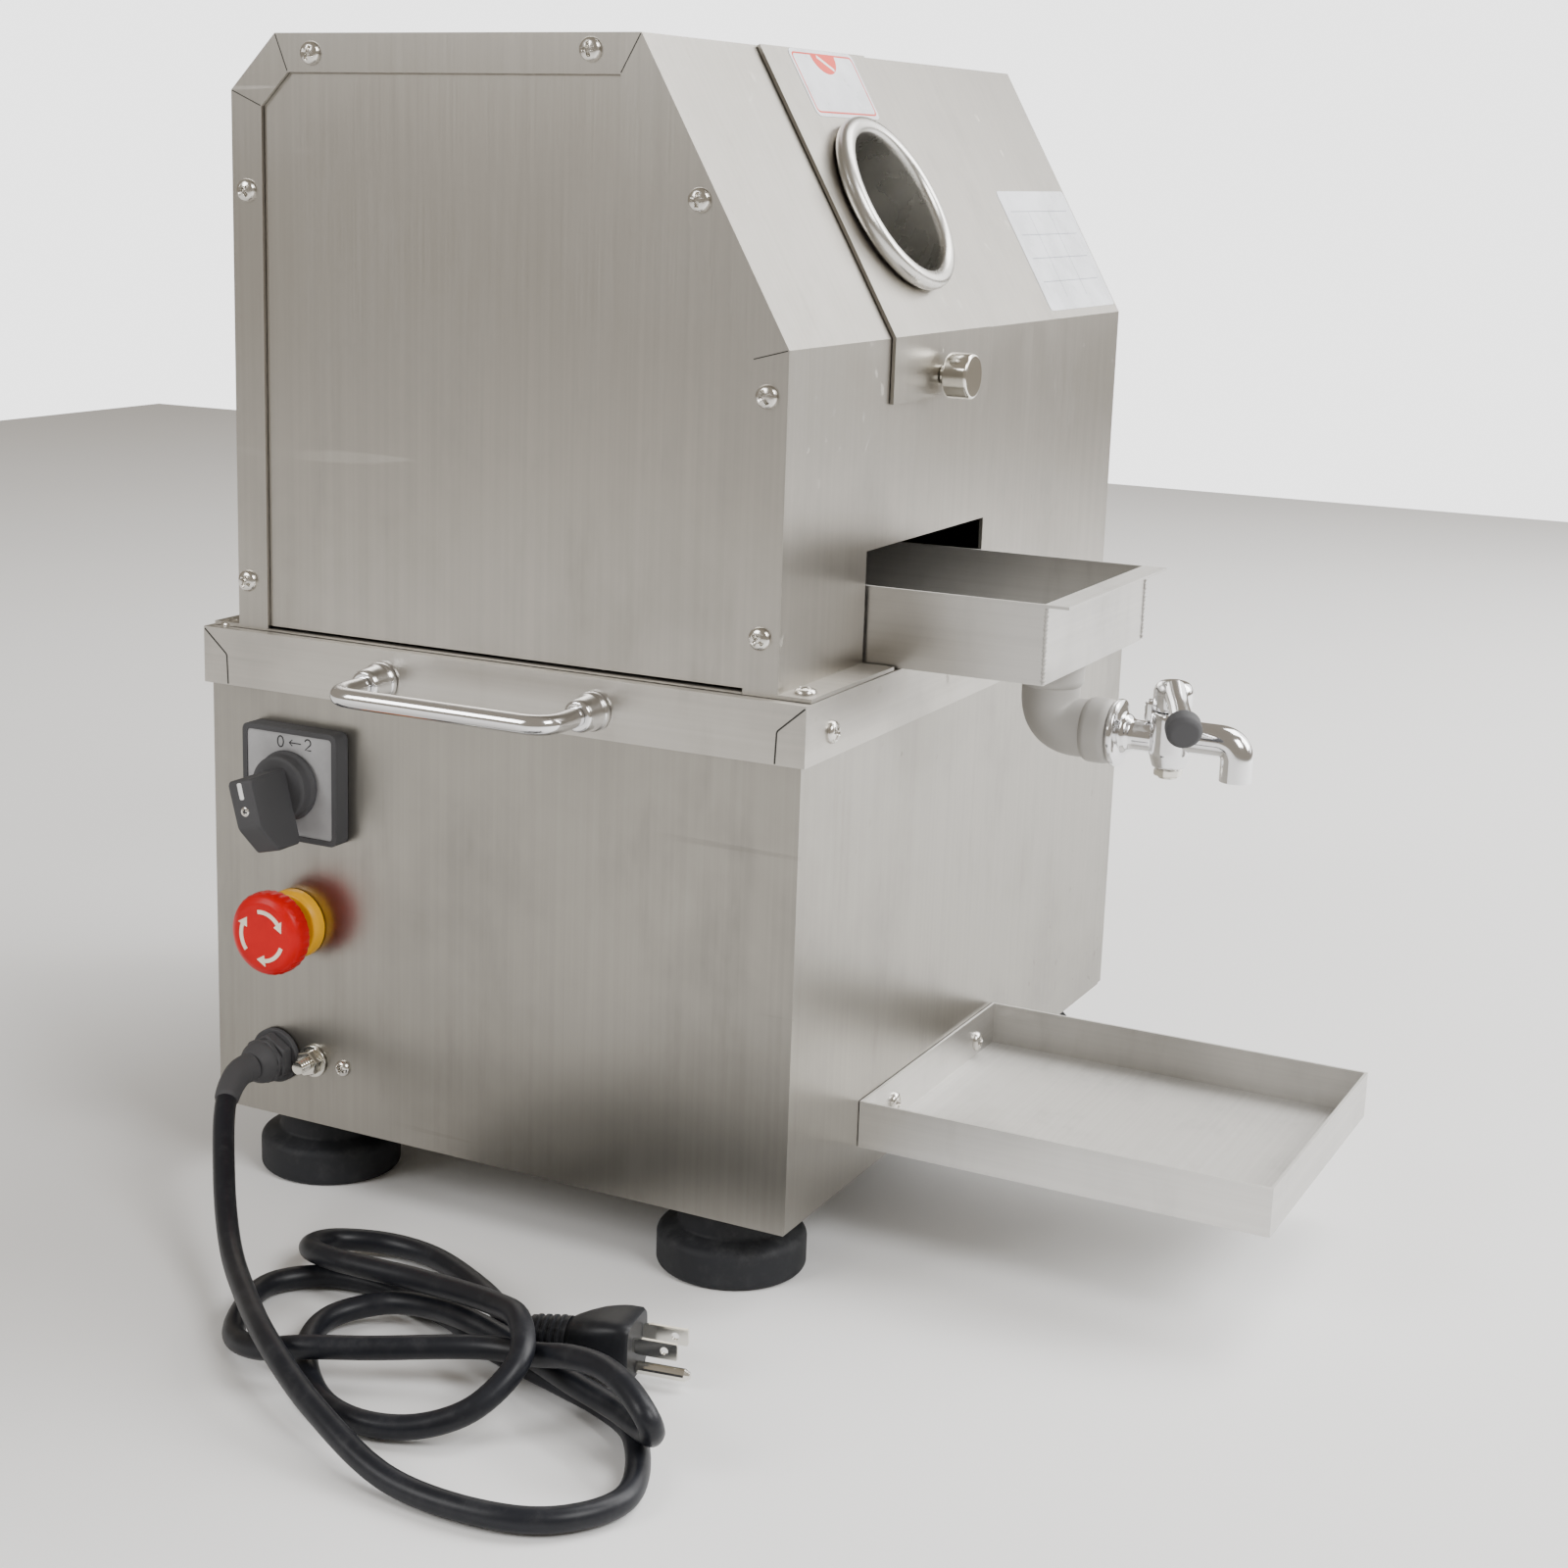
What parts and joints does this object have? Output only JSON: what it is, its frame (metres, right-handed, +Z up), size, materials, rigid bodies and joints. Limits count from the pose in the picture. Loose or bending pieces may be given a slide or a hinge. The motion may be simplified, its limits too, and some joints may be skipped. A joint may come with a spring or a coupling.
{
  "type": "electric cane juicer",
  "caption": "Benchtop electric cane press: stainless cabinet, sloped feed cover with a round throat, geared rollers, sliding juice tray with a drain tap, cup shelf and power cord.",
  "frame": {"origin": "centre of the footprint of the machine without its cord and plug, on the floor under the feet", "axes": "+Z up, -Y the feed, tray and shelf side, -X the side with the switch, the emergency stop and the cord"},
  "size_m": [0.6171, 0.462, 0.4865],
  "materials": {
    "stainless": "brushed",
    "polished": "polished stainless",
    "chrome": "bright chrome plate",
    "machined_steel": "machined",
    "cast_steel": "cast and blasted",
    "nickel": "nickel and zinc plate",
    "bronze": "oiled bronze",
    "black_rubber": "moulded rubber",
    "cord_skin": "smooth cable sheath",
    "black_plastic": "moulded",
    "grey_plastic": "moulded",
    "yellow_plastic": "moulded",
    "red_plastic": "moulded",
    "motor_paint": "satin paint"
  },
  "bodies": {
    "machine": {"base_shell": "stainless", "bottom_plate": "stainless", "deck_lid": "stainless", "upper_housing": "stainless", "side_panel_left": "stainless", "side_panel_right": "stainless", "cup_shelf": "stainless", "bagasse_chute": "stainless", "handle_bar_left": "chrome", "handle_bar_right": "chrome", "handle_ferrule_front_left": "chrome", "handle_ferrule_front_right": "chrome", "handle_ferrule_rear_left": "chrome", "handle_ferrule_rear_right": "chrome", "earth_stud": "nickel", "plug_blade_left": "nickel", "plug_blade_right": "nickel", "plug_earth_pin": "nickel", "bearing_plate_left": "machined_steel", "bearing_plate_right": "machined_steel", "motor_bracket": "machined_steel", "drive_chain": "machined_steel", "top_bush_left": "bronze", "top_bush_right": "bronze", "front_bush_left": "bronze", "front_bush_right": "bronze", "rear_bush_left": "bronze", "rear_bush_right": "bronze", "foot_front_left": "black_rubber", "foot_front_right": "black_rubber", "foot_rear_left": "black_rubber", "foot_rear_right": "black_rubber", "plug_body": "black_rubber", "power_cord": "cord_skin", "cable_gland": "black_plastic", "switch_block": "black_plastic", "estop_block": "black_plastic", "switch_plate": "grey_plastic", "estop_collar": "yellow_plastic", "gear_motor": "motor_paint"},
    "top_roller": {"top_roller": "machined_steel", "top_gear": "machined_steel", "driven_sprocket": "machined_steel"},
    "front_roller": {"front_roller": "machined_steel", "front_gear": "machined_steel"},
    "rear_roller": {"rear_roller": "machined_steel", "rear_gear": "machined_steel"},
    "drive_sprocket": {"drive_sprocket": "machined_steel"},
    "feed_cover": {"feed_cover": "stainless", "feed_throat": "polished"},
    "thumb_knob": {"thumb_knob": "nickel"},
    "switch_knob": {"switch_knob": "black_plastic"},
    "estop_plunger": {"estop_plunger": "grey_plastic"},
    "estop_head": {"estop_head": "red_plastic"},
    "juice_tray": {"juice_tray": "polished", "drain_elbow": "cast_steel", "tap_body": "chrome", "tap_nut": "nickel"},
    "tap_lever": {"tap_lever": "chrome", "tap_lever_cap": "black_plastic"}
  },
  "joints": [
    {"name": "top_roller_spin", "type": "hinge", "parent": "machine", "child": "top_roller", "pos_m": [-0.045, 0.092, 0.398], "axis": [1, 0, 0], "continuous": true},
    {"name": "front_roller_spin", "type": "hinge", "parent": "machine", "child": "front_roller", "pos_m": [-0.045, 0.0545, 0.3437], "axis": [1, 0, 0], "continuous": true},
    {"name": "rear_roller_spin", "type": "hinge", "parent": "machine", "child": "rear_roller", "pos_m": [-0.045, 0.1295, 0.3437], "axis": [1, 0, 0], "continuous": true},
    {"name": "drive_sprocket_spin", "type": "hinge", "parent": "machine", "child": "drive_sprocket", "pos_m": [0.062, 0.092, 0.115], "axis": [1, 0, 0], "continuous": true},
    {"name": "feed_cover_hinge", "type": "hinge", "parent": "machine", "child": "feed_cover", "pos_m": [-0.041, 0.0185, 0.486], "axis": [-1, 0, 0], "range_deg": [0, 70]},
    {"name": "thumb_knob_spin", "type": "hinge", "parent": "feed_cover", "child": "thumb_knob", "pos_m": [-0.042, -0.049, 0.357], "axis": [0, -1, 0], "continuous": true},
    {"name": "switch_knob_turn", "type": "hinge", "parent": "machine", "child": "switch_knob", "pos_m": [-0.2, 0.1739, 0.1827], "axis": [-1, 0, 0], "range_deg": [-45, 90]},
    {"name": "estop_push", "type": "slide", "parent": "machine", "child": "estop_plunger", "axis": [1, 0, 0], "range_m": [0, 0.004], "stiffness_N_per_m": 800},
    {"name": "estop_twist", "type": "hinge", "parent": "estop_plunger", "child": "estop_head", "pos_m": [-0.205, 0.177, 0.12], "axis": [-1, 0, 0], "range_deg": [0, 30], "stiffness_Nm_per_rad": 0.05},
    {"name": "tray_slide", "type": "slide", "parent": "machine", "child": "juice_tray", "axis": [0, -1, 0], "range_m": [0, 0.24]},
    {"name": "tap_lever_turn", "type": "hinge", "parent": "juice_tray", "child": "tap_lever", "pos_m": [-0.043, -0.1555, 0.236], "axis": [0, 0, 1], "range_deg": [0, 50]}
  ],
  "couplings": [
    {"joint": "front_roller_spin", "follows": "top_roller_spin", "ratio": -1},
    {"joint": "rear_roller_spin", "follows": "top_roller_spin", "ratio": -1},
    {"joint": "drive_sprocket_spin", "follows": "top_roller_spin", "ratio": 2.5}
  ]
}
